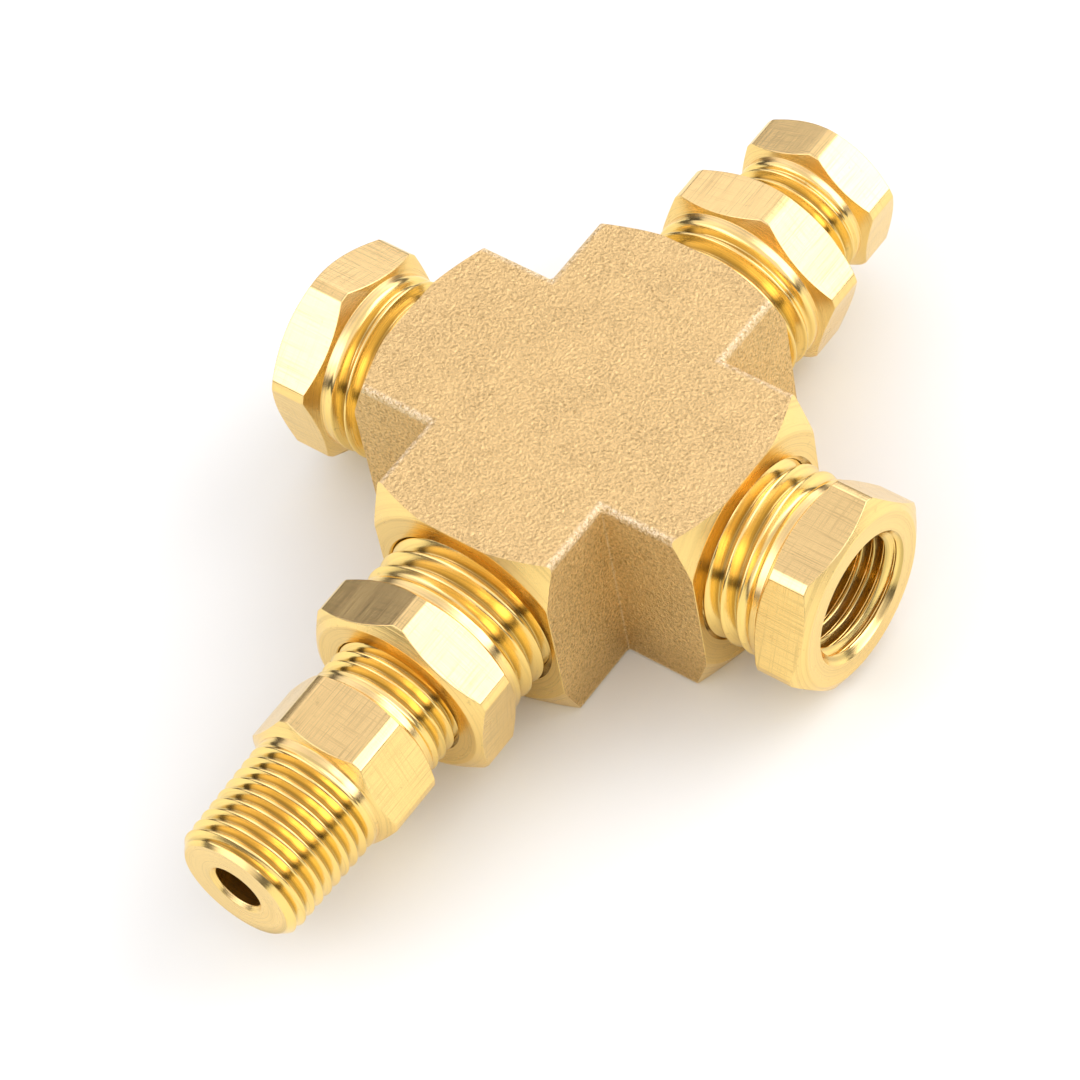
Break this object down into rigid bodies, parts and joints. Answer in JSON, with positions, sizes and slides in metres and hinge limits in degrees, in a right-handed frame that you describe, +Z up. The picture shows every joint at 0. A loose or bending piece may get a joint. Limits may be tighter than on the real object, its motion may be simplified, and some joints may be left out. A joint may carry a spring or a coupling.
{
  "type": "brass pipe cross fitting",
  "caption": "Brass four-way pipe cross lying flat, with a hex reducing bushing screwed into each arm, a hex nipple in the front one and a smaller reducer in the rear one.",
  "frame": {"origin": "centre of the cross body's flat bottom face, which the fitting lies on", "axes": "+Z up from the bottom face; +X along the right arm, out of its open threaded port; +Y along the rear arm, which holds the small reducer; the hex nipple points to -Y"},
  "size_m": [0.0466, 0.0728, 0.017],
  "materials": {
    "blasted_brass": "fine blasted matte, with turned satin arm ends",
    "turned_brass": "bright turned threads, drawn satin hex flats"
  },
  "bodies": {
    "cross": {"cross_body": "blasted_brass"},
    "front_bushing_body": {"front_bushing": "turned_brass"},
    "right_bushing_body": {"right_bushing": "turned_brass"},
    "rear_bushing_body": {"rear_bushing": "turned_brass"},
    "left_bushing_body": {"left_bushing": "turned_brass"},
    "nipple_body": {"hex_nipple": "turned_brass"},
    "reducer_body": {"small_reducer": "turned_brass"}
  },
  "joints": [
    {"name": "front_bushing_unscrew", "type": "slide", "parent": "cross", "child": "front_bushing_body", "axis": [0, -1, 0], "range_m": [0, 0.008]},
    {"name": "right_bushing_unscrew", "type": "slide", "parent": "cross", "child": "right_bushing_body", "axis": [1, 0, 0], "range_m": [0, 0.008]},
    {"name": "rear_bushing_unscrew", "type": "slide", "parent": "cross", "child": "rear_bushing_body", "axis": [0, 1, 0], "range_m": [0, 0.008]},
    {"name": "left_bushing_unscrew", "type": "slide", "parent": "cross", "child": "left_bushing_body", "axis": [-1, 0, 0], "range_m": [0, 0.008]},
    {"name": "nipple_unscrew", "type": "slide", "parent": "front_bushing_body", "child": "nipple_body", "axis": [0, -1, 0], "range_m": [0, 0.008]},
    {"name": "reducer_unscrew", "type": "slide", "parent": "rear_bushing_body", "child": "reducer_body", "axis": [0, 1, 0], "range_m": [0, 0.006]}
  ]
}
